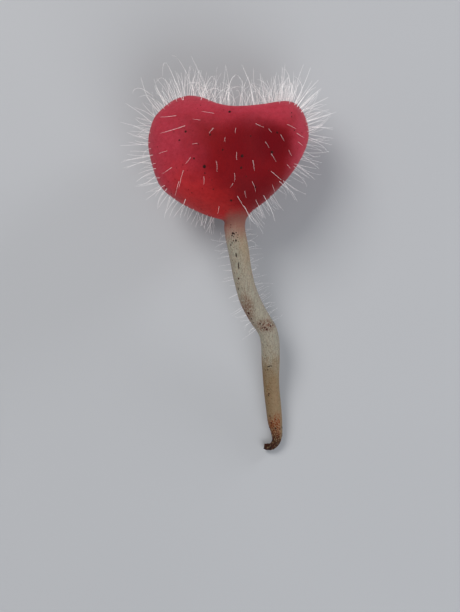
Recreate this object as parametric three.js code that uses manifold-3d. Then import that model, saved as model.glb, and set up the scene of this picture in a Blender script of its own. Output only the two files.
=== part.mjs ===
// Bristly tropical cup, a small cup fungus as picked, lying on its back.
// Millimetres, +Z up. The mouth of the cup faces +Y and the stalk runs towards -Y.
// It rests on three low points, the tips of two stiff bristles and a shred at the stalk's end. The
// origin is on the floor below the middle of the cup's flat spot, which is 0.1 off the floor.

import * as THREE from 'three';
import { mergeVertices } from 'three/addons/utils/BufferGeometryUtils.js';
import Module from 'manifold-3d';

// Flesh
const wall = 1.25;
const axisHeight = 7.35;
const hollowBottom = -7.7;
const hollowFirstRing = 4;
const saddlePower = 1.8;
const segments = 30;
const cupRings = 17;
const rimRings = 3;
const stalkRings = 22;

// Outlines of the cup from the stalk to the top of the margin, as distance from the stalk's axis
// and height along it. The cup is squeezed front to back and bulges lower on the left.
const leftOutline = outline([
  [1.42, -10.4], [1.62, -9.6], [3.9, -8.9], [7.6, -7.1], [10.2, -4.9], [11.5, -1.1],
  [11.75, 1.6], [10.9, 4.4], [8.8, 6.5], [6.6, 7.35], [4.9, 7.25],
]);
const rightOutline = outline([
  [1.42, -10.4], [1.62, -9.4], [2.6, -8.2], [4.7, -6.6], [7.3, -3.8], [9.1, -1.1],
  [10.15, 1.9], [9.75, 4.3], [8.7, 6.0], [7.4, 6.6], [6.1, 6.5],
]);
const frontOutline = outline([
  [1.42, -10.4], [1.62, -9.5], [3.1, -8.6], [5.7, -6.9], [7.3, -4.4], [7.9, -1.2],
  [7.9, 1.5], [7.3, 3.6], [6.3, 4.85], [5.4, 5.4], [4.6, 5.5],
]);
const backOutline = outline([
  [1.42, -10.4], [1.62, -9.5], [3.5, -8.9], [6.2, -7.6], [7.6, -5.3], [7.75, -2.9],
  [7.5, -0.2], [7.0, 2.4], [6.2, 4.1], [5.3, 4.95], [4.6, 5.1],
]);

// The dent in the near wall, right of the middle, fading out at the height of the stalk's axis
const dent = { x: 4.0, y: 1.0, width: 2.9, height: 4.3, depth: 1.5, fade: 5 };

// Centre line of the stalk from its torn base up to the cup, and its radius at shares of the way
const stalkLine = new THREE.CatmullRomCurve3([
  [4.2, -41, 0.55], [5.15, -41.05, 0.63], [5.85, -40.3, 0.78], [5.93, -39.1, 0.98],
  [5.7, -37.6, 1.25], [5.45, -35.3, 1.62], [5.15, -32.4, 2.15], [5.04, -29.2, 2.92],
  [4.95, -26.4, 3.65], [4.5, -24.6, 4.17], [3.3, -22.7, 4.77], [2.1, -20.4, 5.45],
  [1.2, -17.4, 6.18], [0.55, -13.7, 6.9], [0.1, -11.4, 7.24], [0, -10.4, 7.35],
].map((place) => new THREE.Vector3(...place)), false, 'catmullrom', 0.5);
const stalkRadius = outline([
  [0, 0.42], [0.05, 0.55], [0.1, 0.8], [0.15, 1.02], [0.2, 1.07], [0.25, 1.09], [0.3, 1.1],
  [0.35, 1.17], [0.4, 1.26], [0.45, 1.28], [0.5, 1.3], [0.55, 1.33], [0.6, 1.37], [0.65, 1.4],
  [0.7, 1.4], [0.75, 1.35], [0.8, 1.35], [0.85, 1.36], [0.9, 1.42], [0.95, 1.43], [1, 1.42],
]);
const baseTaper = 0.7;

// The flat spot under the cup, and how far it and the bristle tips stay off the floor
const spotMiddle = -3.2;
const spotGap = 0.1;
const tipGap = 0.3;

// The three low points: where each one grows, how far it leans outwards and its radius at the root
const lowPoints = [
  { surface: cupSurface, share: 0.5, angle: -2.2, outward: 1.3, radius: 0.16 },
  { surface: cupSurface, share: 0.55, angle: 2.2, outward: 1.3, radius: 0.16 },
  { surface: stalkPoint, share: 0.05, angle: Math.PI, outward: 0, radius: 0.3 },
];

// Bands of bristles: how many, between which shares of the wall or stalk, how long, how thick at
// the root, and how far they turn from the surface's own direction outwards, upwards and at random
const crown = {
  count: 140, from: 0.8, to: 1.04, shortest: 3.0, longest: 5.2,
  radius: 0.11, flare: 0.55, rise: 0.7, scatter: 0.55,
};
const sides = {
  count: 96, from: 0.42, to: 0.82, shortest: 2.6, longest: 3.9,
  radius: 0.1, flare: 0, rise: 0.1, scatter: 0.7,
};
const under = {
  count: 48, from: 0.14, to: 0.44, shortest: 1.6, longest: 2.4,
  radius: 0.09, flare: 0, rise: -0.1, scatter: 0.7,
};
const stalkFuzz = {
  count: 32, from: 0.5, to: 0.97, shortest: 1.1, longest: 1.9,
  radius: 0.075, flare: 0, rise: 0, scatter: 0.7,
};
const bristleSides = 3;
const bristleSink = 0.5;
const lowestRoot = 0.8;
const bendShare = 0.3;
const turnScatter = 0.3;
const sideBias = 0.25;
const random = seededRandom(20);

function outline(points) {
  return new THREE.SplineCurve(points.map((point) => new THREE.Vector2(...point)));
}

function seededRandom(seed) {
  let state = seed;
  return () => {
    state = (Math.imul(state, 1664525) + 1013904223) >>> 0;
    return state / 2 ** 32;
  };
}

function randomVector() {
  return new THREE.Vector3(random() - 0.5, random() - 0.5, random() - 0.5);
}

// Outer wall, rounded margin and inner wall of one outline, closed on the stalk's axis
function wallProfile(curve) {
  const outer = [];
  const inner = [];
  for (let ring = 0; ring <= cupRings; ring += 1) {
    const tangent = curve.getTangent(ring / cupRings);
    const inward = new THREE.Vector2(-tangent.y, tangent.x);
    outer.push(curve.getPoint(ring / cupRings));
    inner.push(outer[ring].clone().addScaledVector(inward, wall));
  }
  const margin = [];
  const middle = outer[cupRings].clone().lerp(inner[cupRings], 0.5);
  for (let step = 1; step < rimRings; step += 1) {
    const angle = Math.PI * step / rimRings;
    const point = middle.clone().lerp(outer[cupRings], Math.cos(angle));
    margin.push(point.addScaledVector(curve.getTangent(1), Math.sin(angle) * wall / 2));
  }
  const hollow = inner.slice(hollowFirstRing).reverse();
  const lowest = hollow[hollow.length - 1];
  const bottom = new THREE.Vector2(0, hollowBottom);
  const halfway = new THREE.Vector2(lowest.x / 2, (lowest.y + 3 * hollowBottom) / 4);
  return [...outer, ...margin, ...hollow, halfway, bottom];
}

const wallProfiles = [leftOutline, rightOutline, frontOutline, backOutline].map(wallProfile);

function profileAt(profile, ring) {
  const lower = Math.min(Math.floor(ring), profile.length - 2);
  return profile[lower].clone().lerp(profile[lower + 1], ring - lower);
}

// A point of the cup: ring along the wall profile, angle round the axis from the near side
function cupPoint(ring, angle) {
  const [left, right, front, back] = wallProfiles.map((profile) => profileAt(profile, ring));
  const side = Math.sin(angle) < 0 ? left : right;
  const face = Math.cos(angle) < 0 ? back : front;
  const sideShare = Math.abs(Math.sin(angle)) ** saddlePower;
  const point = new THREE.Vector3(
    Math.sin(angle) * side.x,
    side.y * sideShare + face.y * (1 - sideShare),
    Math.cos(angle) * face.x,
  );
  const across = (point.x - dent.x) / dent.width;
  const along = (point.y - dent.y) / dent.height;
  const nearSide = THREE.MathUtils.smoothstep(point.z, 0, dent.fade);
  point.z -= dent.depth * Math.exp(-across * across - along * along) * nearSide;
  point.z += axisHeight;
  return point;
}

// A point of the cup's outer wall: share of the way up it, angle as above
function cupSurface(share, angle) {
  return cupPoint(share * cupRings, angle);
}

// A point of the stalk: share of its length from the base, angle as on the cup
function stalkPoint(share, angle, swell = 1) {
  const centre = stalkLine.getPointAt(share);
  const forward = stalkLine.getTangentAt(share);
  const sideways = new THREE.Vector3().crossVectors(forward, new THREE.Vector3(0, 0, 1)).normalize();
  const outward = new THREE.Vector3().crossVectors(sideways, forward);
  const radius = stalkRadius.getPoint(share).y * swell;
  centre.addScaledVector(sideways, Math.sin(angle) * radius);
  return centre.addScaledVector(outward, Math.cos(angle) * radius);
}

// Cup and stalk are one lathe whose rings are moved onto the stalk's line and the cup's outlines
function fleshGeometry() {
  const profileLength = wallProfiles[0].length;
  const stations = [];
  stations.push((angle) => stalkPoint(0, angle, 0));
  stations.push((angle) => stalkPoint(0, angle, baseTaper));
  for (let ring = 1; ring < stalkRings; ring += 1) {
    stations.push((angle) => stalkPoint(ring / stalkRings, angle));
  }
  for (let ring = 0; ring < profileLength; ring += 1) {
    stations.push((angle) => cupPoint(ring, angle));
  }
  const profile = stations.map((station, row) => {
    const onAxis = row === 0 || row === stations.length - 1;
    return new THREE.Vector2(onAxis ? 0 : 1, row);
  });
  const lathe = new THREE.LatheGeometry(profile, segments);
  const positions = lathe.getAttribute('position');
  for (let vertex = 0; vertex < positions.count; vertex += 1) {
    const angle = 2 * Math.PI * Math.floor(vertex / stations.length) / segments;
    const point = stations[vertex % stations.length](angle);
    positions.setXYZ(vertex, point.x, point.y, point.z);
  }
  return lathe;
}

function toSolid(geometry) {
  const bare = geometry.clone();
  bare.deleteAttribute('normal');
  bare.deleteAttribute('uv');
  const merged = mergeVertices(bare);
  const index = merged.getIndex().array;
  const corners = [];
  for (let first = 0; first < index.length; first += 3) {
    const [a, b, c] = index.slice(first, first + 3);
    if (a !== b && b !== c && c !== a) {
      corners.push(a, b, c);
    }
  }
  const vertProperties = new Float32Array(merged.getAttribute('position').array);
  const triVerts = new Uint32Array(corners);
  return new wasm.Manifold(new wasm.Mesh({ numProp: 3, vertProperties, triVerts }));
}

function toGeometry(solid) {
  const mesh = solid.getMesh();
  const geometry = new THREE.BufferGeometry();
  geometry.setAttribute('position', new THREE.BufferAttribute(mesh.vertProperties, 3));
  geometry.setIndex(new THREE.BufferAttribute(mesh.triVerts, 1));
  geometry.computeVertexNormals();
  return geometry;
}

// A slim cone sunk into the flesh, its tip pushed aside by bend
function bristle(root, direction, length, radius, bend) {
  const whole = length + bristleSink;
  const cone = new THREE.ConeGeometry(radius, whole, bristleSides, 1);
  const toDirection = new THREE.Quaternion().setFromUnitVectors(new THREE.Vector3(0, 1, 0), direction);
  const positions = cone.getAttribute('position');
  const point = new THREE.Vector3();
  for (let vertex = 0; vertex < positions.count; vertex += 1) {
    point.fromBufferAttribute(positions, vertex);
    const pushed = point.y > 0 ? 1 : 0;
    point.y += whole / 2 - bristleSink;
    point.applyQuaternion(toDirection).add(root).addScaledVector(bend, pushed);
    positions.setXYZ(vertex, point.x, point.y, point.z);
  }
  return toSolid(cone);
}

// Bristles in one band of a surface, spread evenly in a spiral and denser at the two sides
function bristleBand(band, surface) {
  const goldenAngle = Math.PI * (3 - Math.sqrt(5));
  const step = 0.01;
  const bristles = [];
  for (let place = 0; place < band.count; place += 1) {
    const share = band.from + (band.to - band.from) * (place + random()) / band.count;
    const turn = place * goldenAngle + turnScatter * random();
    const angle = turn + sideBias * Math.sin(2 * turn);
    const root = surface(share, angle);
    const along = surface(share + step, angle).sub(root);
    const around = surface(share, angle + step).sub(root);
    const direction = around.cross(along).normalize();
    direction.add(new THREE.Vector3(Math.sin(angle) * band.flare, band.rise, Math.cos(angle) * band.flare));
    direction.addScaledVector(randomVector(), band.scatter).normalize();
    const length = band.shortest + (band.longest - band.shortest) * random();
    const bend = randomVector().multiplyScalar(bendShare * length);
    const tipHeight = root.z + length * direction.z + bend.z;
    bend.z += Math.max(tipGap - tipHeight, 0);
    if (root.z > lowestRoot) {
      bristles.push(bristle(root, direction, length, band.radius, bend));
    }
  }
  return bristles;
}

const wasm = await Module();
wasm.setup();

// Cuts the flat spot under the cup
const floorDepth = 10;
const floorBlock = new THREE.BoxGeometry(16, 16, floorDepth);
floorBlock.translate(0, spotMiddle, spotGap - floorDepth / 2);

let fruitBody = toSolid(fleshGeometry()).subtract(toSolid(floorBlock));
const bristles = [
  ...bristleBand(crown, cupSurface),
  ...bristleBand(sides, cupSurface),
  ...bristleBand(under, cupSurface),
  ...bristleBand(stalkFuzz, stalkPoint),
];
for (const solid of bristles) {
  fruitBody = fruitBody.add(solid);
}
for (const { surface, share, angle, outward, radius } of lowPoints) {
  const root = surface(share, angle);
  const reach = new THREE.Vector3(Math.sign(root.x) * outward, 0, -root.z);
  const length = reach.length();
  fruitBody = fruitBody.add(bristle(root, reach.normalize(), length, radius, new THREE.Vector3()));
}

const flesh = new THREE.MeshStandardMaterial({ color: 0xa8323f, roughness: 0.55, metalness: 0 });
const mesh = new THREE.Mesh(toGeometry(fruitBody), flesh);
mesh.name = 'fruit_body';
mesh.position.y = -spotMiddle;

const group = new THREE.Group();
group.add(mesh);

export default group;
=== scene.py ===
import math
import random

import bmesh
import bpy
from mathutils import Matrix, Vector, noise
from mathutils.bvhtree import BVHTree


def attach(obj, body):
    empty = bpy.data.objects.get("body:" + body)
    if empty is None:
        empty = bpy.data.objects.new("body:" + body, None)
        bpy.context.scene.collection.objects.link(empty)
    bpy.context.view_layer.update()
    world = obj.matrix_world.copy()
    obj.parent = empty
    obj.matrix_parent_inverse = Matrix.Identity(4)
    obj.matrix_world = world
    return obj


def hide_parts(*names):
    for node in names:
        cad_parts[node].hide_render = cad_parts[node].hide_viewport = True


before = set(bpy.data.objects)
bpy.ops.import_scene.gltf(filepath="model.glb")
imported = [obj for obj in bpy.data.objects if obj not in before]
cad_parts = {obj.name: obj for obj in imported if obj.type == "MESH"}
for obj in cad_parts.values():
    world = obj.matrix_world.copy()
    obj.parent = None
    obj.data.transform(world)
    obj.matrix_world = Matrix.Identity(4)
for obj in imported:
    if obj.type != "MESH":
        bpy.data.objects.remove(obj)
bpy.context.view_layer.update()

# The fungus in millimetres: x across from the cup's axis, y along it from near its widest part, z up
# from the floor. The outlines give the distance from the axis and the y of places from the neck up
MM = 0.001
WALL = 1.25
AXIS_HEIGHT = 7.35
SPOT_GAP = 0.1
SPOT_MIDDLE = -3.2
LOWEST_ROOT = 0.8
HOLLOW_BOTTOM = -7.7
HOLLOW_START = 0.235
SADDLE_POWER = 1.8
LEFT_OUTLINE = (
    (1.42, -10.4), (1.62, -9.6), (3.9, -8.9), (7.6, -7.1), (10.2, -4.9), (11.5, -1.1),
    (11.75, 1.6), (10.9, 4.4), (8.8, 6.5), (6.6, 7.35), (4.9, 7.25),
)
RIGHT_OUTLINE = (
    (1.42, -10.4), (1.62, -9.4), (2.6, -8.2), (4.7, -6.6), (7.3, -3.8), (9.1, -1.1),
    (10.15, 1.9), (9.75, 4.3), (8.7, 6.0), (7.4, 6.6), (6.1, 6.5),
)
FRONT_OUTLINE = (
    (1.42, -10.4), (1.62, -9.5), (3.1, -8.6), (5.7, -6.9), (7.3, -4.4), (7.9, -1.2),
    (7.9, 1.5), (7.3, 3.6), (6.3, 4.85), (5.4, 5.4), (4.6, 5.5),
)
BACK_OUTLINE = (
    (1.42, -10.4), (1.62, -9.5), (3.5, -8.9), (6.2, -7.6), (7.6, -5.3), (7.75, -2.9),
    (7.5, -0.2), (7.0, 2.4), (6.2, 4.1), (5.3, 4.95), (4.6, 5.1),
)
DENT_X, DENT_Y = 4.0, 1.0
DENT_WIDTH, DENT_HEIGHT, DENT_DEPTH = 2.9, 4.3, 1.5
DENT_FADE = 5

# The stalk's centre line from its torn base up to the cup, and its radius at shares of the way
STALK_LINE = (
    (4.2, -41, 0.55), (5.15, -41.05, 0.63), (5.85, -40.3, 0.78), (5.93, -39.1, 0.98),
    (5.7, -37.6, 1.25), (5.45, -35.3, 1.62), (5.15, -32.4, 2.15), (5.04, -29.2, 2.92),
    (4.95, -26.4, 3.65), (4.5, -24.6, 4.17), (3.3, -22.7, 4.77), (2.1, -20.4, 5.45),
    (1.2, -17.4, 6.18), (0.55, -13.7, 6.9), (0.1, -11.4, 7.24), (0, -10.4, 7.35),
)
STALK_RADII = (
    (0, 0.42), (0.05, 0.55), (0.1, 0.8), (0.15, 1.02), (0.2, 1.07), (0.25, 1.09), (0.3, 1.1),
    (0.35, 1.17), (0.4, 1.26), (0.45, 1.28), (0.5, 1.3), (0.55, 1.33), (0.6, 1.37), (0.65, 1.4),
    (0.7, 1.4), (0.75, 1.35), (0.8, 1.35), (0.85, 1.36), (0.9, 1.42), (0.95, 1.43), (1, 1.42),
)

# The unevenness of the cup's skin, as the scale and height of each noise, and the y where it starts
RELIEF = ((0.33, 0.1), (1.1, 0.025))
RELIEF_START = -9

# How finely the flesh is divided, and in how many steps the stalk's line is measured
AROUND = 144
STALK_ROWS = 120
CUP_ROWS = 96
MARGIN_ROWS = 10
HOLLOW_ROWS = 40
BOTTOM_ROWS = 8
CURVE_STEPS = 400
STALK_STEPS = 200

# Bristles in bands: how many, between which shares of the wall or stalk, how short and long, their
# radius at the root, how far they turn outwards, towards the mouth and at random, how many stand on
# the faces for one at the sides, how many gather in tufts and which share of them is hooked
CROWN = dict(
    count=96, low=0.96, high=1.35, short=2.7, long=4.6, radius=0.036, flare=0.5, rise=0.55, scatter=1.0,
    faces=0.85, tufts=0.25, hooked=0.25)
CROWN_FUZZ = dict(
    count=52, low=0.96, high=1.4, short=0.9, long=2.2, radius=0.026, flare=0.3, rise=0.4, scatter=1.3,
    faces=0.9, tufts=0.0, hooked=0.3)
SHOULDERS = dict(
    count=84, low=0.76, high=0.97, short=2.6, long=4.2, radius=0.037, flare=0.1, rise=0.3, scatter=0.55,
    faces=0.0, tufts=0.2, hooked=0.1)
SIDES = dict(
    count=120, low=0.38, high=0.78, short=2.1, long=3.7, radius=0.035, flare=0.0, rise=0.08, scatter=0.5,
    faces=0.0, tufts=0.3, hooked=0.08)
UNDER = dict(
    count=56, low=0.15, high=0.4, short=1.4, long=2.6, radius=0.034, flare=0.0, rise=-0.3, scatter=0.6,
    faces=0.08, tufts=0.1, hooked=0.08)
BACK = dict(
    count=36, low=0.3, high=0.9, short=1.6, long=2.6, radius=0.034, flare=0.0, rise=-0.3, scatter=0.5,
    faces=1.0, tufts=0.0, hooked=0.0)
FUZZ = dict(
    count=74, low=0.56, high=0.985, short=0.9, long=2.0, radius=0.02, flare=0.0, rise=0.0, scatter=0.45,
    faces=0.15, tufts=0.0, hooked=0.15)
BARE_FACE = 0.35
LONG_SHARE = 0.09
LONG_FACTOR = 1.35
TUFT_SIZE = (3, 6)
TUFT_SPREAD = 0.045
BRISTLE_SINK = 0.25
BRISTLE_SIDES = 4
BRISTLE_JOINTS = 9
BRISTLE_TIP = 0.3
FLOOR_GAP = 0.06
HOOKED_CURL = (1.4, 3.0)
SOFT_CURL = (0.05, 0.6)
BACK_SPREAD = 0.4

# Steps that spread the bristles of a band evenly over its shares and angles
SHARE_STEP = 0.7548776662
ANGLE_STEP = 0.5698402910

# Where the random draws start
BACK_SEED, FUZZ_SEED = 8, 9
CUP_SPECK_SEED, STALK_SPECK_SEED = 17, 18
NEAR_SEED, TALL_SEED = 31, 32

# The short bristles on the near face, as where each one's root and tip are seen
NEAR_BRISTLES = (
    (-8.0, 4.7, -10.2, 4.5),
    (-6.8, 3.3, -10.1, 2.3),
    (-4.7, 4.1, -5.7, 4.2),
    (-2.9, 3.0, -3.5, 2.3),
    (0.2, 3.0, 0.1, 2.3),
    (-1.3, 1.7, -1.3, 1.1),
    (0.3, -0.3, 0.3, -1.4),
    (-2.5, -1.5, -2.4, -3.0),
    (-4.2, -3.6, -4.2, -4.7),
    (0.0, -3.2, 0.0, -4.3),
    (-0.2, -4.5, -0.6, -5.1),
    (-7.0, -2.8, -7.6, -5.2),
    (2.5, -1.4, 2.7, -2.8),
    (2.4, -4.3, 2.9, -5.7),
    (5.0, -0.5, 5.7, -1.6),
    (6.3, 2.1, 6.8, 1.2),
    (4.7, 2.9, 5.1, 2.4),
    (2.9, 3.6, 4.0, 3.1),
    (7.2, 3.5, 8.4, 2.9),
    (7.4, 0.0, 7.8, -0.8),
    (5.0, -2.9, 6.4, -4.1),
    (7.2, -2.0, 7.6, -2.5),
    (5.1, -4.7, 5.7, -6.2),
    (0.4, -6.3, 1.5, -8.1),
    (2.9, -6.8, 4.0, -9.3),
    (-6.0, -1.0, -6.7, -1.9),
    (-7.6, -4.3, -8.1, -6.2),
    (-2.8, 5.0, -4.5, 5.3),
    (8.5, 2.3, 9.5, 1.7),
    (8.7, 1.1, 9.3, 0.6),
    (-5.1, 0.9, -5.8, 0.8),
    (-2.1, -7.7, -2.3, -8.7),
    (4.2, 1.1, 4.7, 0.3),
    (1.4, -5.6, 1.6, -6.5),
    (-9.2, -0.1, -10.4, -0.5),
    (-8.6, -2.4, -9.8, -3.2),
)
NEAR_LENGTH = 3.0
NEAR_RADIUS = 0.023
NEAR_BEND = 0.12
LEAST_LIFT = 0.3

# The tallest bristles at the cup's edge, as 1 for the near half or -1 for the far half, then the
# places from root to tip where each is seen
TALL_BRISTLES = (
    (1, (-3.4, 7.1), (-4.4, 9.6), (-5.9, 12.8)), (-1, (-5, 7.2), (-6.2, 9.7), (-7.7, 12.4), (-8.5, 12.8)),
    (1, (-7.2, 7.1), (-8.4, 10.1), (-9.3, 11.9), (-9.8, 11.5), (-9.8, 10.1)),
    (1, (-7.1, 7.2), (-7.1, 9), (-7.3, 10.6)), (-1, (-6.8, 7.3), (-5.8, 9.2), (-5, 10.6)),
    (1, (-4.6, 7.1), (-3.8, 9), (-3.1, 10.1), (-2.8, 9.6)), (1, (-2.1, 6.3), (-1.6, 8.4), (-1.2, 11.6)),
    (-1, (-0.5, 6.2), (-0.8, 9), (-1.2, 11.5)),
    (1, (-0.8, 6.1), (-0.7, 9), (0.2, 10.3), (1, 9.4), (1.1, 8.4)),
    (-1, (-1.2, 6.1), (-0.7, 7.8), (0, 8.6), (1.2, 8.5)),
    (1, (2.6, 6.2), (2.1, 9), (1.5, 10.5), (1, 11.7)), (-1, (3.3, 6.3), (2.7, 8.8), (2.6, 11.1)),
    (1, (4.2, 6.4), (3.7, 9), (3.5, 10.5)), (1, (6.2, 6.7), (6.7, 9.2), (6.9, 11.8)),
    (-1, (7.2, 6.9), (7.5, 9.2), (7.1, 10.7), (6.7, 10.9)), (1, (7.7, 6.8), (8, 9), (8.1, 10.7)),
    (-1, (7.9, 6.8), (8.7, 9.7), (9.4, 11.6)), (1, (8.5, 6.5), (9.6, 9.2), (10.4, 11.3)),
    (1, (8.8, 6.1), (10.1, 8.1), (11.5, 9.6)), (-1, (9, 5.8), (10.4, 7.2), (11.8, 8.4)),
    (1, (9.3, 5.4), (11.2, 6.4), (12.8, 7.2)),
    (1, (-9.7, 5.8), (-11.1, 7.3), (-12.7, 8.4), (-13.7, 8.3), (-13.9, 7.7)),
    (1, (-8, 6.9), (-9, 9), (-10, 9.9), (-10.8, 9.2)), (-1, (-10, 5.6), (-11.7, 7.4), (-13.1, 7.2)),
    (1, (-10.3, 5.2), (-11.9, 7.2), (-12.8, 9.9)), (1, (-11.2, 3.7), (-13.1, 5.2), (-14.9, 6.4)),
    (-1, (-10.8, 4.4), (-12.5, 5.4), (-13.7, 5.8)), (1, (-11.7, 2.5), (-13.7, 3.3), (-15.6, 3.8)),
    (-1, (-11.7, 1.7), (-13.3, 1.9), (-14.7, 2.4)), (1, (-11.8, 0.8), (-13.7, 0.7), (-15.6, 0.6)),
    (1, (-11.7, -0.9), (-13.5, -1.2), (-15.2, -1.4)), (-1, (-11.5, -1.3), (-13.1, -1.8), (-14.8, -2.5)),
    (1, (-11.2, -3), (-12.1, -3.4), (-13.4, -4.3)), (-1, (-10.9, -3.6), (-11.9, -4.4), (-12.9, -4.8)),
    (1, (-10, -5.2), (-10.9, -5.9), (-12.1, -6.8)), (-1, (-9.8, -5.7), (-10.3, -6.7), (-10.5, -8)),
    (1, (10.1, 4), (12.2, 4.6), (13.9, 5.2)), (-1, (10.2, 3.3), (11.8, 3.1), (13.4, 2.8)),
    (1, (10.2, 1.7), (11.8, 1.1), (13.3, 0.7)), (-1, (10.1, 1.5), (11.8, 0.7), (12.8, -0.3)),
    (1, (10, -0.3), (10.8, -0.9), (11.7, -0.8)), (1, (8.7, -2.6), (9.1, -3), (10, -3.7)),
    (-1, (8.4, -3.1), (9.3, -4), (9.9, -5)), (1, (6.8, -4.9), (7.7, -5.6), (8.6, -7)),
    (-1, (5.6, -6.3), (6, -7.4), (6.7, -8.3)), (1, (4.6, -6.9), (5.1, -8.3), (5.5, -9.7)),
    (1, (1.8, -8.9), (2.3, -9.5), (2.9, -10.1)), (-1, (-5, -8.3), (-5.1, -9.5), (-5.3, -10.7)),
    (1, (-7, -7.2), (-7.2, -8.1), (-7.4, -9.3)), (-1, (-3.2, -9.1), (-3.3, -10.1), (-3.1, -11.6)),
    (1, (-2.5, 6.2), (-3.1, 7.8), (-3.5, 9)), (-1, (0.6, 6), (1, 7.6), (2, 8.8)),
    (1, (-1.9, 6.2), (-2.1, 7.8), (-2.8, 9.9)), (1, (1.6, 6), (1, 7.8), (1.1, 9.5)),
)
TALL_RADIUS = 0.04
MARGIN_REACH = 10
MARGIN_DEPTH = 4.6

# The two stiff bristles that stand on the floor, as share of the wall and angle, and their reach
PROPS = ((0.5, -2.2), (0.55, 2.2))
PROP_REACH = 1.3
PROP_RADIUS = 0.07

# Dark specks on the near face of the cup, as x, y and radius, and on the stalk, as x, y, half width,
# half length and lean
CUP_SPECKS = (
    (-0.68, 5.23, 0.13), (-6.68, 2.52, 0.12), (-7.56, 1.35, 0.08), (-10.5, 0.43, 0.06),
    (-5.54, -1.14, 0.1), (-4.13, -2.26, 0.17), (1.04, -0.81, 0.15), (0.92, -2.42, 0.1),
    (-0.45, -6.88, 0.12), (5.14, -0.3, 0.12), (7.79, 5.09, 0.08), (7.79, 4.54, 0.07),
    (2.2, 1.9, 0.08), (-1.62, 0.04, 0.08), (-2.9, -5.36, 0.07), (-4.07, -3.16, 0.06),
    (2.88, -5.06, 0.08), (5.83, 2.39, 0.09), (-3.33, 2.09, 0.09), (-5.84, -5.85, 0.07),
    (-4.56, -8.06, 0.07), (-4.66, 6.11, 0.05), (-4.96, 0.82, 0.05), (4.65, -2.81, 0.05),
    (1.61, -3.59, 0.06), (-3.09, -4.08, 0.05), (8.18, 2.68, 0.06), (-8.29, 2.49, 0.05),
)
STALK_SPECKS = (
    (-0.5, -10.23, 0.06, 0.06, 0), (-0.24, -11.36, 0.12, 0.14, 0.3), (-0.35, -11.67, 0.09, 0.1, 0),
    (-0.04, -11.45, 0.08, 0.09, 0), (0.22, -11.28, 0.07, 0.07, 0), (0.46, -11.59, 0.06, 0.07, 0),
    (-0.12, -11.81, 0.06, 0.07, 0), (0.39, -11.93, 0.05, 0.06, 0), (0.18, -12.36, 0.1, 0.14, 0),
    (-0.18, -12.4, 0.08, 0.1, 0.2), (-0.34, -12.66, 0.07, 0.1, 0.3),
    (-0.5, -12.97, 0.07, 0.14, 0.3), (-0.12, -13.29, 0.04, 0.05, 0), (0.5, -12.49, 0.04, 0.05, 0),
    (-0.52, -10.57, 0.04, 0.05, 0), (0.22, -14.36, 0.08, 0.28, 0), (0.56, -15.78, 0.06, 0.46, 0),
    (0.55, -17.57, 0.09, 0.12, 0), (0.52, -18.95, 0.05, 0.22, 0), (-0.29, -15.04, 0.03, 0.1, 0),
    (0.42, -18.27, 0.03, 0.1, 0), (-0.01, -16.8, 0.03, 0.12, 0), (0.33, -13.51, 0.04, 0.07, 0),
    (1.92, -22.32, 0.12, 0.16, 0), (1.75, -22.63, 0.08, 0.1, 0), (1.41, -21.89, 0.07, 0.12, 0),
    (2.31, -23.05, 0.07, 0.09, 0), (2.56, -23.57, 0.07, 0.1, 0), (3.5, -23.73, 0.09, 0.1, 0),
    (3.9, -23.82, 0.06, 0.07, 0), (3.79, -24.27, 0.05, 0.06, 0), (4.15, -24.24, 0.08, 0.1, 0),
    (4.41, -24.53, 0.1, 0.12, 0), (4.92, -24.02, 0.09, 0.11, 0), (3.79, -24.36, 0.05, 0.06, 0),
    (5.26, -23.96, 0.05, 0.06, 0), (4.73, -29.56, 0.06, 0.28, 1.2), (5.08, -29.53, 0.05, 0.1, 0),
    (4.52, -30.02, 0.05, 0.12, 1.2), (4.69, -33.31, 0.09, 0.1, 0), (4.64, -33.53, 0.06, 0.08, 0),
    (4.81, -36.36, 0.07, 0.09, 0), (4.86, -36.7, 0.05, 0.07, 0), (5.03, -37.27, 0.09, 0.11, 0),
    (5.65, -36.82, 0.06, 0.08, 0), (6.22, -38.12, 0.08, 0.11, 0), (4.52, -26.68, 0.03, 0.1, 0),
    (4.24, -28.1, 0.04, 0.06, 0), (4.13, -28.49, 0.05, 0.07, 0), (3.9, -26.62, 0.03, 0.05, 0),
)
CUP_SPECK_WIDTH = 1.3
CUP_SPECK_LENGTH = (1.3, 1.7)
STALK_SPECK_SIZE = 1.2
SPECK_HEIGHT = 0.35
SPECK_RELIEF = (7, 0.3)

# Smaller grains at random places: pits in the cup's skin and crumbs at the stalk's torn end
PIT_COUNT = 46
PIT_RADIUS = (0.05, 0.12)
PIT_LENGTH = (1, 1.3)
CRUMB_COUNT = 70
CRUMB_RADIUS = (0.05, 0.14)
CRUMB_LENGTH = (1, 1.8)
CRUMB_REACH = 0.13

# Colours as seen in the photograph's light, 0 to 255
DEEP_RED = (119, 13, 19)
SHEEN_ROSE = (164, 47, 63)
GLOW_ORANGE_RED = (172, 38, 38)
SHADE_AND_PORE_RED = (94, 3, 12)
NECK_PINK = (126, 85, 76)
CREAM = (146, 141, 127)
FIBRE_GREY = (120, 114, 101)
LIT_WARM_CREAM = (142, 122, 96)
OCHRE = (112, 89, 58)
BASE_BROWN = (112, 48, 12)
SOIL = (34, 19, 13)
BRISTLE_WHITE = (250, 248, 247)
MOTTLE_RED = (96, 8, 18)
SHEEN_PINK = (196, 92, 104)
INSIDE_CORAL = (230, 116, 94)
FRECKLE_BROWN = (84, 60, 40)
SCUFF_BROWN = (92, 50, 36)
SPECKLE_PALE = (168, 158, 138)
RUST_RED = (124, 66, 44)
HAIR_GREY = (205, 198, 200)
HAIR_ROOT = (200, 120, 130)
SPECK_DARK = (22, 8, 8)
SPECK_BROWN = (58, 20, 16)
FLOOR_GREY = (166, 168, 171)
FLOOR_PALE = (180, 181, 184)

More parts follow.
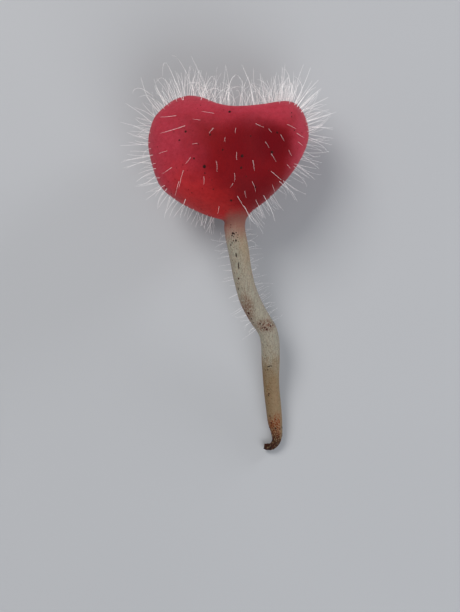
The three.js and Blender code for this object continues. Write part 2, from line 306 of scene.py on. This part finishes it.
# The camera looks straight down and sees the cup as large and in the same place as the photograph
IMAGE_HEIGHT = 83.6
IMAGE_MIDDLE = (-0.62, -18.11)
LENS = 105
SENSOR = 36
CAMERA_HEIGHT = IMAGE_HEIGHT * LENS / SENSOR + AXIS_HEIGHT
ABOVE_CUP = 3 * AXIS_HEIGHT

# Lights as name, place and size in metres, power and colour, all aimed at one place near the neck
LIGHT_TARGET = (0, -0.01, 0.007)
LIGHTS = (
    ("key", (-0.16, 0.17, 0.26), 0.18, 0.95, (1.0, 0.97, 0.94)),
    ("fill", (0.12, -0.24, 0.22), 0.30, 0.75, (0.96, 0.98, 1.0)),
    ("rim", (0.22, 0.16, 0.07), 0.10, 0.35, (0.95, 0.96, 1.0)),
)
ROOM_COLOUR = (0.9, 0.93, 1.0, 1.0)
ROOM_STRENGTH = 0.25
FLOOR_REACH = 1.5


def spline(points, share):
    """A point of the smooth curve through evenly timed points, share from 0 to 1."""
    place = min(max(share, 0), 1) * (len(points) - 1)
    index = min(int(place), len(points) - 2)
    t = place - index
    last = len(points) - 1
    before = Vector(points[max(index - 1, 0)])
    start = Vector(points[index])
    end = Vector(points[index + 1])
    after = Vector(points[min(index + 2, last)])
    leave = (end - before) / 2
    arrive = (after - start) / 2
    turn = (start - end) * 2 + leave + arrive
    swing = (end - start) * 3 - leave * 2 - arrive
    return turn * t**3 + swing * t**2 + leave * t + start


def spline_direction(points, share):
    step = 1e-4
    return (spline(points, share + step) - spline(points, share - step)).normalized()


def inner_wall(outline, share):
    direction = spline_direction(outline, share)
    inward = Vector((-direction.y, direction.x))
    return spline(outline, share) + inward * WALL


def wall_point(outline, place):
    """Distance from the axis and height: place 0 to 1 up the outer wall, 1 to 2 over the margin,
    2 to 3 down the inner wall, 3 to 4 across the hollow's bottom to the axis."""
    if place <= 1:
        return spline(outline, place)
    if place <= 2:
        outer = spline(outline, 1)
        inner = inner_wall(outline, 1)
        angle = math.pi * (place - 1)
        across = (outer - inner) / 2 * math.cos(angle)
        return (outer + inner) / 2 + across + spline_direction(outline, 1) * math.sin(angle) * WALL / 2
    if place <= 3:
        return inner_wall(outline, 1 - (place - 2) * (1 - HOLLOW_START))
    lowest = inner_wall(outline, HOLLOW_START)
    t = place - 3
    return Vector((lowest.x * (1 - t), HOLLOW_BOTTOM + (lowest.y - HOLLOW_BOTTOM) * (1 - t) ** 2))


def smooth_share(value, low, high):
    t = min(max((value - low) / (high - low), 0), 1)
    return t * t * (3 - 2 * t)


def cup_section(place):
    outlines = (LEFT_OUTLINE, RIGHT_OUTLINE, FRONT_OUTLINE, BACK_OUTLINE)
    return [wall_point(outline, place) for outline in outlines]


def section_point(section, angle):
    """A point of the cup on one section of its wall, angle round the axis from the near side."""
    left, right, front, back = section
    side = left if math.sin(angle) < 0 else right
    face = back if math.cos(angle) < 0 else front
    side_share = abs(math.sin(angle)) ** SADDLE_POWER
    x = math.sin(angle) * side.x
    y = side.y * side_share + face.y * (1 - side_share)
    z = math.cos(angle) * face.x
    across = (x - DENT_X) / DENT_WIDTH
    along = (y - DENT_Y) / DENT_HEIGHT
    z -= DENT_DEPTH * math.exp(-across * across - along * along) * smooth_share(z, 0, DENT_FADE)
    return Vector((x, y, z + AXIS_HEIGHT))


def cup_point(place, angle):
    return section_point(cup_section(place), angle)


def even_shares(points, steps):
    """Curve shares that cut the curve through points into steps of one length."""
    fine = [spline(points, index / CURVE_STEPS) for index in range(CURVE_STEPS + 1)]
    lengths = [0.0]
    for start, end in zip(fine, fine[1:]):
        lengths.append(lengths[-1] + (end - start).length)
    shares = []
    index = 0
    for step in range(steps + 1):
        wanted = lengths[-1] * step / steps
        while index < CURVE_STEPS - 1 and lengths[index + 1] < wanted:
            index += 1
        part = (wanted - lengths[index]) / (lengths[index + 1] - lengths[index])
        shares.append((index + part) / CURVE_STEPS)
    return shares


STALK_SHARES = even_shares(STALK_LINE, STALK_STEPS)


def stalk_point(share, angle, swell=1.0):
    """A point of the stalk: share of its length from the base, angle as on the cup."""
    place = min(max(share, 0), 1) * STALK_STEPS
    index = min(int(place), STALK_STEPS - 1)
    even = STALK_SHARES[index] + (STALK_SHARES[index + 1] - STALK_SHARES[index]) * (place - index)
    forward = spline_direction(STALK_LINE, even)
    sideways = forward.cross(Vector((0, 0, 1))).normalized()
    outward = sideways.cross(forward)
    radius = spline(STALK_RADII, share).y * swell
    across = sideways * math.sin(angle) + outward * math.cos(angle)
    return spline(STALK_LINE, even) + across * radius


def to_metres(point):
    return Vector((point.x, point.y - SPOT_MIDDLE, point.z)) * MM


class Socket:
    """One output of a shader node, which adds its Math nodes as Python works out a sum."""

    def __init__(self, shader, link):
        self.shader = shader
        self.link = link

    def _math(self, operation, *values):
        return self.shader.node("ShaderNodeMath", {"operation": operation}, dict(enumerate(values)))

    def __add__(self, other):
        return self._math("ADD", self, other)

    __radd__ = __add__

    def __sub__(self, other):
        return self._math("SUBTRACT", self, other)

    def __rsub__(self, other):
        return self._math("SUBTRACT", other, self)

    def __mul__(self, other):
        return self._math("MULTIPLY", self, other)

    def __truediv__(self, other):
        return self._math("DIVIDE", self, other)

    def __abs__(self):
        return self._math("ABSOLUTE", self)

    def most(self, other):
        return self._math("MAXIMUM", self, other)

    def ramp(self, low, high):
        """0 below low and 1 above high, smooth between them; falls instead where low is above high."""
        settings = {"interpolation_type": "SMOOTHSTEP"}
        if low < high:
            return self.shader.node("ShaderNodeMapRange", settings, {0: self, 1: low, 2: high})
        return 1 - self.shader.node("ShaderNodeMapRange", settings, {0: self, 1: high, 2: low})


class Shader:
    """A material being made, node by node."""

    def __init__(self, name):
        self.material = bpy.data.materials.new(name)
        self.material.use_nodes = True
        self.tree = self.material.node_tree
        self.tree.nodes.clear()

    def node(self, kind, settings, inputs, output=0):
        made = self.tree.nodes.new(kind)
        for name, value in settings.items():
            setattr(made, name, value)
        for name, value in inputs.items():
            if isinstance(value, Socket):
                self.tree.links.new(value.link, made.inputs[name])
            else:
                made.inputs[name].default_value = value
        return Socket(self, made.outputs[output])

    def place(self):
        """Object coordinates in millimetres."""
        raw = self.node("ShaderNodeTexCoord", {}, {}, "Object")
        return self.node("ShaderNodeVectorMath", {"operation": "SCALE"}, {0: raw, "Scale": 1 / MM})

    def parts(self, place):
        """The x, y and z of a place, measured as the outlines are."""
        x, y, z = [self.node("ShaderNodeSeparateXYZ", {}, {0: place}, axis) for axis in range(3)]
        return x, y + SPOT_MIDDLE, z

    def stretched(self, place, scale):
        return self.node("ShaderNodeVectorMath", {"operation": "MULTIPLY"}, {0: place, 1: scale})

    def noise(self, place, scale, detail=3.0, roughness=0.55):
        inputs = {"Vector": place, "Scale": scale, "Detail": detail, "Roughness": roughness}
        return self.node("ShaderNodeTexNoise", {}, inputs)

    def mix(self, factor, first, second):
        return self.node("ShaderNodeMix", {"data_type": "RGBA"}, {0: factor, 6: first, 7: second}, 2)

    def bump(self, height, strength, distance):
        inputs = {"Height": height, "Strength": strength, "Distance": distance}
        return self.node("ShaderNodeBump", {}, inputs)

    def finish(self, inputs):
        skin = self.node("ShaderNodeBsdfPrincipled", {}, inputs)
        output = self.tree.nodes.new("ShaderNodeOutputMaterial")
        self.tree.links.new(skin.link, output.inputs["Surface"])
        return self.material


def paint(red, green, blue):
    """A colour given as 0 to 255 on a screen, as the shader needs it."""
    parts = [(value / 255) / 12.92 if value < 10.3 else ((value / 255 + 0.055) / 1.055) ** 2.4
             for value in (red, green, blue)]
    return (*parts, 1.0)


def spot(shader, x, y, at_x, at_y, radius_x, radius_y):
    """1 in the middle of an oval on the near side, fading to 0 at its edge."""
    across = (x - at_x) / radius_x
    along = (y - at_y) / radius_y
    return (across * across + along * along).ramp(1.0, 0.0)


def flesh_material():
    shader = Shader("velvet_flesh")
    place = shader.place()
    x, y, z = shader.parts(place)
    broad = shader.noise(place, 0.35, 2.0)
    grain = shader.noise(place, 5.0, 4.0, 0.6)
    fine = shader.noise(place, 14.0, 2.0, 0.6)

    # The cup: deep red, with painted sheen and rim light in rose at the sides and margin, a painted orange
    # glow of light through the thin flesh low on the left, and painted shade darkest in the dent
    # left, right and the margin mask mark where painted velvet sheen and rim light turn the red rose
    left = (x + broad * 3).ramp(-0.5, -8.5)
    right = (x + broad * 2).ramp(7.2, 10.5)
    margin_sheen = (y + broad * 1.5).ramp(2.2, 6.2)
    red = shader.mix(left.most(right).most(margin_sheen * 0.9), paint(*DEEP_RED), paint(*SHEEN_ROSE))
    # Painted glow: orange-red where light shines through the thin flesh low on the left
    above_edge = y + x * 0.61 + broad * 2 + 9.6
    translucent_glow = above_edge.ramp(6.2, 0.0) * x.ramp(4.0, -1.0) * x.ramp(-11.5, -6.0)
    red = shader.mix(translucent_glow * 0.9, red, paint(*GLOW_ORANGE_RED))
    # Painted shade: dark red in and below the dent on the near face; the same red also darkens the pores
    dent_shade = spot(shader, x + broad * 1.5, y + broad, 5.3, 1.0, 3.7, 4.0)
    dent_shade = dent_shade.most(spot(shader, x + broad * 2, y + broad, 3.0, 0.4, 4.6, 5.4) * 0.62)
    dent_shade = dent_shade.most(spot(shader, x + broad * 1.5, y, 3.4, -4.6, 3.9, 5.2) * 0.5)
    red = shader.mix(dent_shade * z.ramp(AXIS_HEIGHT, AXIS_HEIGHT + 3) * 0.9, red, paint(*SHADE_AND_PORE_RED))
    blotch = shader.noise(place, 1.6, 3.0, 0.6)
    mottle = (blotch * 0.5 + grain * 0.3 + fine * 0.2).ramp(0.4, 0.65)
    red = shader.mix(mottle * 0.34, red, paint(*MOTTLE_RED))
    # Painted sheen: pale pink flecks of velvet sheen along the edges and margin
    sheen_speckle = fine.ramp(0.42, 0.72) * right.most(left * 0.6).most(margin_sheen * 0.7)
    red = shader.mix(sheen_speckle * 0.4, red, paint(*SHEEN_PINK))
    pores = shader.node(
        "ShaderNodeTexVoronoi", {"feature": "F1"}, {"Vector": place, "Scale": 1.1, "Randomness": 1.0})
    pores = (pores + broad * 0.15).ramp(0.21, 0.14)
    red = shader.mix(pores * 0.6, red, paint(*SHADE_AND_PORE_RED))

    # Inside the cup the flesh is smooth, lighter and a little moist
    inside = shader.node("ShaderNodeAttribute", {"attribute_name": "inside"}, {}, "Fac").ramp(0.5, 1.0)
    red = shader.mix(inside * 0.85, red, paint(*INSIDE_CORAL))

    # The stalk: cream with lengthwise grain, painted warm light on its right side, ochre further down,
    # soiled at the torn base and scuffed brown on the outside of its bend
    fibre = shader.noise(shader.stretched(place, (3.4, 0.25, 3.4)), 1.7, 5.0, 0.7)
    stain = shader.noise(shader.stretched(place, (1.0, 0.6, 1.0)), 0.9, 4.0, 0.6)
    freckle = shader.noise(shader.stretched(place, (1.5, 0.8, 1.5)), 4.5, 3.0, 0.7)
    pale = shader.mix(fibre.ramp(0.38, 0.66) * 0.75, paint(*CREAM), paint(*FIBRE_GREY))
    # Painted light: warm cream where light falls on the stalk's right side, high up here and lower down
    # through lit
    warm_lit_side = (x + y * 0.19 + 3.9).ramp(1.2, 2.8) * y.ramp(-20, -12)
    pale = shader.mix(warm_lit_side * 0.6, pale, paint(*LIT_WARM_CREAM))
    tan = (y + stain * 6).ramp(-23.5, -29.0)
    pale = shader.mix(tan * 0.8, pale, paint(*OCHRE))
    pale = shader.mix(freckle.ramp(0.6, 0.72) * (0.5 + tan * 0.4), pale, paint(*FRECKLE_BROWN))
    speckle = shader.noise(shader.stretched(place, (1.0, 0.45, 1.0)), 9.0, 3.0, 0.7)
    pale = shader.mix(speckle.ramp(0.5, 0.64) * (0.4 + tan * 0.4), pale, paint(*FRECKLE_BROWN))
    pale = shader.mix(speckle.ramp(0.46, 0.34) * (0.34 - tan * 0.2), pale, paint(*SPECKLE_PALE))
    lit = (x - 5.2 + fibre * 0.6).ramp(-0.3, 0.9) * tan
    pale = shader.mix(lit * 0.35, pale, paint(*LIT_WARM_CREAM))
    scuff = spot(shader, x + freckle * 1.2, y, 2.2, -22.2, 1.5, 3.4)
    scuff = scuff.most(spot(shader, x + freckle * 1.2, y, 4.9, -24.0, 1.9, 1.2))
    pale = shader.mix(scuff * freckle.ramp(0.4, 0.56) * 0.8, pale, paint(*SCUFF_BROWN))
    rust = (y + stain * 4).ramp(-33.8, -35.8) * freckle.ramp(0.42, 0.52)
    rust = rust * (x - 5.0 + stain * 1.4 + (y + 38) * -0.2).ramp(0.0, 0.7)
    rust = rust * (x + fibre * 0.3).ramp(6.75, 6.35)
    pale = shader.mix(rust * 0.95, pale, paint(*BASE_BROWN))
    edge = (x - 4.2 + fibre * 0.8).ramp(0.5, -0.4) * (y + stain * 5).ramp(-31.0, -35.0)
    pale = shader.mix(edge * 0.65, pale, paint(*RUST_RED))
    low = (freckle + (y + 41) * -0.04).ramp(0.34, 0.47)
    dirt = (y + stain * 4 + fibre * 2 + (x - 5.2) * 0.9).ramp(-33.0, -37.2) * low
    pale = shader.mix(dirt * 0.9, pale, paint(*SOIL))

    # Red fades through pink into the stalk at the neck, higher in the middle than at the sides
    corner = (abs(x - 0.5) - 1.1).most(0)
    fade = y + corner + fibre * 1.8 - 0.75
    neck = shader.mix(fade.ramp(-7.6, -9.6) * 0.9, red, paint(*NECK_PINK))
    colour = shader.mix(fade.ramp(-9.0, -13.0), neck, pale)

    height = (grain * 0.6 + fine * 0.4) * (1 - inside * 0.7)
    normal = shader.bump(height, 0.35, 0.12 * MM)
    roughness = 0.5 + grain * 0.2 - inside * 0.15
    return shader.finish({
        "Base Color": colour,
        "Roughness": roughness,
        "Normal": normal,
        "Subsurface Weight": 0.25,
        "Subsurface Radius": (1.0, 0.25, 0.2),
        "Subsurface Scale": 1.2 * MM,
        "Sheen Weight": 0.12,
        "Sheen Roughness": 0.3,
        "Sheen Tint": (1.0, 0.75, 0.8, 1.0),
        "Specular IOR Level": 0.07,
    })


def bristle_material():
    shader = Shader("bristle_white")
    along = shader.node("ShaderNodeAttribute", {"attribute_name": "along"}, {}, "Fac")
    tone = shader.noise(shader.place(), 1.5, 2.0)
    white = shader.mix(tone.ramp(0.35, 0.7) * 0.35, paint(*BRISTLE_WHITE), paint(*HAIR_GREY))
    colour = shader.mix(along.ramp(0.16, 0.0) * 0.5, white, paint(*HAIR_ROOT))
    return shader.finish({
        "Base Color": colour,
        "Roughness": 0.42,
        "Subsurface Weight": 0.1,
        "Subsurface Radius": (1.0, 0.9, 0.85),
        "Subsurface Scale": 0.2 * MM,
        "Specular IOR Level": 0.5,
    })


def speck_material():
    shader = Shader("dark_specks")
    place = shader.place()
    tone = shader.noise(place, 1.3, 2.0)
    colour = shader.mix(tone.ramp(0.35, 0.65), paint(*SPECK_DARK), paint(*SPECK_BROWN))
    normal = shader.bump(shader.noise(place, 12.0), 0.5, 0.03 * MM)
    return shader.finish({
        "Base Color": colour, "Roughness": 0.75 + tone * 0.1, "Normal": normal, "Specular IOR Level": 0.15})


def floor_material():
    shader = Shader("pale_floor")
    tone = shader.noise(shader.place(), 0.02, 2.0)
    colour = shader.mix(tone * 0.3, paint(*FLOOR_GREY), paint(*FLOOR_PALE))
    return shader.finish({"Base Color": colour, "Roughness": 0.9, "Specular IOR Level": 0.1})


def new_piece(name, mesh_maker, material):
    mesh = bpy.data.meshes.new(name)
    bm = bmesh.new()
    mesh_maker(bm)
    bm.to_mesh(mesh)
    bm.free()
    mesh.materials.append(material)
    for polygon in mesh.polygons:
        polygon.use_smooth = True
    piece = bpy.data.objects.new(name, mesh)
    bpy.context.scene.collection.objects.link(piece)
    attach(piece, "root")
    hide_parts("fruit_body")
    return piece


def flesh_rows():
    """Each row of the flesh from the stalk's base to the hollow's bottom, as a function of the angle."""
    rows = [lambda angle: stalk_point(0, angle, 0.0)]
    for step in (0.35, 0.7, 0.9):
        rows.append(lambda angle, step=step: stalk_point(0, angle, step))
    for step in range(1, STALK_ROWS):
        rows.append(lambda angle, share=step / STALK_ROWS: stalk_point(share, angle))
    places = [step / CUP_ROWS for step in range(CUP_ROWS)]
    places += [1 + step / MARGIN_ROWS for step in range(MARGIN_ROWS)]
    places += [2 + step / HOLLOW_ROWS for step in range(HOLLOW_ROWS)]
    places += [3 + step / BOTTOM_ROWS for step in range(BOTTOM_ROWS + 1)]
    for place in places:
        rows.append(lambda angle, section=cup_section(place): section_point(section, angle))
    return rows


def make_flesh(bm):
    """A drum of one row for each ring, spun round y, then moved onto the fungus's own form."""
    rows = flesh_rows()
    last = len(rows) - 1
    margin_row = last - BOTTOM_ROWS - HOLLOW_ROWS - MARGIN_ROWS
    inside_layer = bm.verts.layers.float.new("inside")
    column = [bm.verts.new((0, row, 0 if row in (0, last) else 1)) for row in range(len(rows))]
    edges = [bm.edges.new(pair) for pair in zip(column, column[1:])]
    bmesh.ops.spin(
        bm, geom=column + edges, cent=(0, 0, 0), axis=(0, 1, 0), angle=2 * math.pi, steps=AROUND,
        use_merge=True)
    bmesh.ops.remove_doubles(bm, verts=bm.verts, dist=1e-4)
    for vertex in bm.verts:
        angle = math.atan2(vertex.co.x, vertex.co.z)
        row = round(vertex.co.y)
        point = rows[row](angle)
        vertex[inside_layer] = min(max((row - margin_row) / MARGIN_ROWS, 0), 1)
        if point.y > RELIEF_START:
            relief = sum(noise.noise(point * scale) * height for scale, height in RELIEF)
            middle = Vector((0, point.y, AXIS_HEIGHT))
            point += (point - middle).normalized() * relief
        if point.y > STALK_LINE[-1][1]:
            point.z = max(point.z, SPOT_GAP)
        vertex.co = to_metres(point)
    bm.normal_update()
    bmesh.ops.recalc_face_normals(bm, faces=bm.faces)


def bristle_template():
    """One bristle from 0 to 1 along z with a root of radius 1."""
    bm = bmesh.new()
    bmesh.ops.create_cone(
        bm, cap_ends=True, segments=BRISTLE_SIDES, radius1=1, radius2=BRISTLE_TIP, depth=1)
    bmesh.ops.translate(bm, verts=bm.verts, vec=(0, 0, 0.5))
    lengthwise = [edge for edge in bm.edges if abs(edge.verts[0].co.z - edge.verts[1].co.z) > 0.5]
    bmesh.ops.subdivide_edges(bm, edges=lengthwise, cuts=BRISTLE_JOINTS - 1, use_grid_fill=True)
    mesh = bpy.data.meshes.new("one_bristle")
    bm.to_mesh(mesh)
    bm.free()
    return mesh


def bristle_line(root, direction, bend_towards, length, curl):
    """Points along a bristle that turns by curl, most of it near its tip."""
    side = (bend_towards - direction * bend_towards.dot(direction)).normalized()
    here = root.copy()
    points = [root - direction * BRISTLE_SINK, here]
    for joint in range(1, BRISTLE_JOINTS):
        turn = curl * ((joint - 0.5) / (BRISTLE_JOINTS - 1)) ** 1.4
        here = here + (direction * math.cos(turn) + side * math.sin(turn)) * length / (BRISTLE_JOINTS - 1)
        points.append(here)
    return points


def drawn_to(line, leader, pull):
    """A bristle's line bent over until its tip lies against its leader's."""
    shares = [max(index - 1, 0) / (len(line) - 2) for index in range(len(line))]
    return [point.lerp(other, pull * share**1.6) for point, other, share in zip(line, leader, shares)]


def add_bristle(bm, template, along_layer, line, radius):
    """Adds the template's mesh and bends it along the line."""
    first = len(bm.verts)
    bm.from_mesh(template)
    bm.verts.ensure_lookup_table()
    last = len(line) - 1
    for vertex in bm.verts[first:]:
        index = min(round(vertex.co.z * last), last)
        forward = (line[min(index + 1, last)] - line[max(index - 1, 0)]).normalized()
        sideways = forward.orthogonal().normalized()
        across = sideways * vertex.co.x + forward.cross(sideways) * vertex.co.y
        point = line[index] + across * radius
        point.z = max(point.z, FLOOR_GAP)
        vertex[along_layer] = index / last
        vertex.co = to_metres(point)


def random_vector(chance):
    return Vector((chance.random() - 0.5, chance.random() - 0.5, chance.random() - 0.5))


def bristle_direction(band, surface, share, angle, chance):
    """Which way a bristle leaves the surface: square to it, leaning as its band does."""
    step = 0.005
    root = surface(share, angle)
    along = surface(share + step, angle) - root
    around = surface(share, angle + step) - root
    direction = around.cross(along).normalized()
    direction += Vector((math.sin(angle) * band["flare"], band["rise"], math.cos(angle) * band["flare"]))
    return (direction + random_vector(chance) * band["scatter"]).normalized()


def grow_band(bm, template, along_layer, band, surface, seed):
    """Bristles spread evenly over one band, thinner on the faces, some of them gathered in tufts."""
    chance = random.Random(seed)
    place = 0
    grown = 0
    while grown < band["count"]:
        place += 1
        share = band["low"] + (band["high"] - band["low"]) * (place * SHARE_STEP % 1)
        angle = 2 * math.pi * (place * ANGLE_STEP % 1)
        if chance.random() > band["faces"] + (1 - band["faces"]) * math.sin(angle) ** 4:
            continue
        if band["high"] < 1 and math.cos(angle) > BARE_FACE:
            continue
        size = chance.randint(*TUFT_SIZE) if chance.random() < band["tufts"] / TUFT_SIZE[0] else 1
        leader = None
        for member in range(size):
            own_share = min(share + member * TUFT_SPREAD * chance.uniform(-0.5, 0.5), band["high"])
            own_angle = angle + (member > 0) * TUFT_SPREAD * chance.uniform(-2, 2)
            root = surface(own_share, own_angle)
            direction = bristle_direction(band, surface, own_share, own_angle, chance)
            length = band["short"] + (band["long"] - band["short"]) * chance.random()
            if chance.random() < LONG_SHARE:
                length *= LONG_FACTOR
            hooked = chance.random() < band["hooked"]
            curl = chance.uniform(*HOOKED_CURL) if hooked else chance.uniform(*SOFT_CURL)
            line = bristle_line(root, direction, random_vector(chance), length, curl)
            if leader:
                line = drawn_to(line, leader, chance.uniform(0.75, 1.0))
            leader = leader or line
            grown += 1
            if root.z > LOWEST_ROOT:
                add_bristle(bm, template, along_layer, line, band["radius"] * chance.uniform(0.75, 1.15))


def seen_at(x, y, z):
    """The point at height z that the camera sees where it sees x, y on the level of the axis."""
    middle = Vector((IMAGE_MIDDLE[0], IMAGE_MIDDLE[1] + SPOT_MIDDLE))
    flat = middle + (Vector((x, y)) - middle) * (CAMERA_HEIGHT - z) / (CAMERA_HEIGHT - AXIS_HEIGHT)
    return Vector((*flat, z))


def on_flesh(skin, x, y):
    """Where the camera sees the flesh at x, y, in metres, and which way the flesh faces there."""
    high = seen_at(x, y, ABOVE_CUP)
    low = seen_at(x, y, 0)
    place, facing, _, _ = skin.ray_cast(to_metres(high), (low - high).normalized())
    return place, facing


def from_metres(place):
    return place / MM + Vector((0, SPOT_MIDDLE, 0))


def through(places):
    """A bristle's line through its places, with its root sunk in."""
    line = [spline(places, step / (BRISTLE_JOINTS - 1)) for step in range(BRISTLE_JOINTS)]
    return [line[0] + (line[0] - line[1]).normalized() * BRISTLE_SINK, *line]


def add_near_bristles(bm, template, along_layer, skin):
    """Short bristles seen end on: the shorter one looks, the more it rises towards the camera."""
    chance = random.Random(NEAR_SEED)
    for root_x, root_y, tip_x, tip_y in NEAR_BRISTLES:
        place, facing = on_flesh(skin, root_x, root_y)
        root = from_metres(place)
        reach = math.hypot(tip_x - root_x, tip_y - root_y)
        lift = math.sqrt(max(NEAR_LENGTH**2 - reach**2, LEAST_LIFT))
        tip = seen_at(tip_x, tip_y, root.z + lift * (0.4 + 0.6 * facing.z))
        halfway = (root + tip) / 2 + random_vector(chance) * NEAR_BEND
        line = through((root, halfway, tip))
        add_bristle(bm, template, along_layer, line, NEAR_RADIUS * chance.uniform(0.8, 1.2))


def add_tall_bristles(bm, template, along_layer, skin):
    """Bristles rooted in the flesh nearest to where each is seen, on the near or far half of an oval."""
    chance = random.Random(TALL_SEED)
    for half, *dots in TALL_BRISTLES:
        depth = MARGIN_DEPTH * math.sqrt(max(1 - (dots[0][0] / MARGIN_REACH) ** 2, 0.02))
        places = [seen_at(x, y, AXIS_HEIGHT + half * depth) for x, y in dots]
        root = from_metres(skin.find_nearest(to_metres(places[0]))[0])
        for place in places:
            place.z = root.z
        places[0] = root
        add_bristle(bm, template, along_layer, through(places), TALL_RADIUS * chance.uniform(0.8, 1.1))


def add_props(bm, template, along_layer):
    for share, angle in PROPS:
        root = cup_point(share, angle)
        tip = Vector((root.x + math.copysign(PROP_REACH, root.x), root.y, 0))
        line = through((root, (root + tip) / 2, tip))
        add_bristle(bm, template, along_layer, line, PROP_RADIUS)


def behind(share, angle):
    """A point of the cup's back, for an angle all the way round."""
    return cup_point(share, math.pi + (angle - math.pi) * BACK_SPREAD)


def make_cup_bristles(bm, skin):
    template = bristle_template()
    along_layer = bm.verts.layers.float.new("along")
    for seed, band in enumerate((CROWN, CROWN_FUZZ, SHOULDERS, SIDES, UNDER)):
        grow_band(bm, template, along_layer, band, cup_point, seed)
    grow_band(bm, template, along_layer, BACK, behind, BACK_SEED)
    add_near_bristles(bm, template, along_layer, skin)
    add_tall_bristles(bm, template, along_layer, skin)
    add_props(bm, template, along_layer)
    bpy.data.meshes.remove(template)


def make_stalk_fuzz(bm):
    template = bristle_template()
    along_layer = bm.verts.layers.float.new("along")
    grow_band(bm, template, along_layer, FUZZ, stalk_point, FUZZ_SEED)
    bpy.data.meshes.remove(template)


def add_speck(bm, place, facing, lean, width, length, divisions=2):
    """A flat dark grain on the flesh, its length along y turned by lean."""
    along = Vector((math.sin(lean), math.cos(lean), 0))
    side = along.cross(facing).normalized()
    forward = facing.cross(side)
    axes = Matrix((side * width, forward * length, facing * width * SPECK_HEIGHT)).transposed() * MM
    matrix = Matrix.Translation(place) @ axes.to_4x4()
    grain = bmesh.ops.create_icosphere(bm, subdivisions=divisions, radius=1, matrix=matrix)
    scale, height = SPECK_RELIEF
    for vertex in grain["verts"]:
        vertex.co += facing * noise.noise(vertex.co / MM * scale) * width * height * MM
        vertex.co.z = max(vertex.co.z, 0)


def add_grain(bm, skin, near, chance, radii, lengths):
    """A small speck of random size and lean, on the flesh nearest to a place."""
    place, facing, _, _ = skin.find_nearest(to_metres(near))
    radius = chance.uniform(*radii)
    lean = chance.uniform(-1, 1)
    add_speck(bm, place, facing, lean, radius, radius * chance.uniform(*lengths), 1)


def make_cup_specks(bm, skin):
    chance = random.Random(CUP_SPECK_SEED)
    for x, y, radius in CUP_SPECKS:
        place, facing = on_flesh(skin, x, y)
        lean = chance.uniform(-1, 1)
        length = radius * chance.uniform(*CUP_SPECK_LENGTH)
        add_speck(bm, place, facing, lean, radius * CUP_SPECK_WIDTH, length)
    for _ in range(PIT_COUNT):
        near = cup_point(chance.uniform(0.2, 0.9), chance.uniform(1.2, 5.1))
        add_grain(bm, skin, near, chance, PIT_RADIUS, PIT_LENGTH)


def make_stalk_specks(bm, skin):
    chance = random.Random(STALK_SPECK_SEED)
    for x, y, width, length, lean in STALK_SPECKS:
        place, facing = on_flesh(skin, x, y)
        add_speck(bm, place, facing, lean, width * STALK_SPECK_SIZE, length * STALK_SPECK_SIZE)
    for _ in range(CRUMB_COUNT):
        near = stalk_point(CRUMB_REACH * chance.random() ** 1.5, chance.uniform(-2.4, 2.4))
        add_grain(bm, skin, near, chance, CRUMB_RADIUS, CRUMB_LENGTH)


def add_floor():
    mesh = bpy.data.meshes.new("floor")
    bm = bmesh.new()
    bmesh.ops.create_grid(bm, x_segments=1, y_segments=1, size=FLOOR_REACH)
    bm.to_mesh(mesh)
    bm.free()
    mesh.materials.append(floor_material())
    floor = bpy.data.objects.new("floor", mesh)
    bpy.context.scene.collection.objects.link(floor)


def add_light(name, place, size, power, colour):
    data = bpy.data.lights.new(name, "AREA")
    data.shape = "DISK"
    data.size = size
    data.energy = power
    data.color = colour
    light = bpy.data.objects.new(name, data)
    light.location = place
    light.rotation_mode = "QUATERNION"
    light.rotation_quaternion = (Vector(LIGHT_TARGET) - light.location).to_track_quat("-Z", "Y")
    bpy.context.scene.collection.objects.link(light)


def add_room():
    world = bpy.data.worlds.new("soft_room")
    world.use_nodes = True
    glow = world.node_tree.nodes["Background"].inputs
    glow["Color"].default_value = ROOM_COLOUR
    glow["Strength"].default_value = ROOM_STRENGTH
    bpy.context.scene.world = world


def add_camera():
    data = bpy.data.cameras.new("camera")
    data.lens = LENS
    data.sensor_width = SENSOR
    data.clip_start = 0.01
    data.clip_end = 10
    camera = bpy.data.objects.new("camera", data)
    camera.location = Vector((*IMAGE_MIDDLE, CAMERA_HEIGHT)) * MM
    camera.rotation_euler = (0, 0, 0)
    bpy.context.scene.collection.objects.link(camera)
    bpy.context.scene.camera = camera


bpy.context.scene.view_settings.view_transform = "Standard"
add_camera()
add_floor()
for light_settings in LIGHTS:
    add_light(*light_settings)
add_room()
flesh =new_piece("cup_and_stalk", make_flesh, flesh_material())
corners = [vertex.co for vertex in flesh.data.vertices]
skin = BVHTree.FromPolygons(corners, [polygon.vertices for polygon in flesh.data.polygons])
bristle_finish = bristle_material()
speck_finish = speck_material()
new_piece("cup_bristles", lambda bm: make_cup_bristles(bm, skin), bristle_finish)
new_piece("stalk_fuzz", make_stalk_fuzz, bristle_finish)
new_piece("cup_specks", lambda bm: make_cup_specks(bm, skin), speck_finish)
new_piece("stalk_specks", lambda bm: make_stalk_specks(bm, skin), speck_finish)
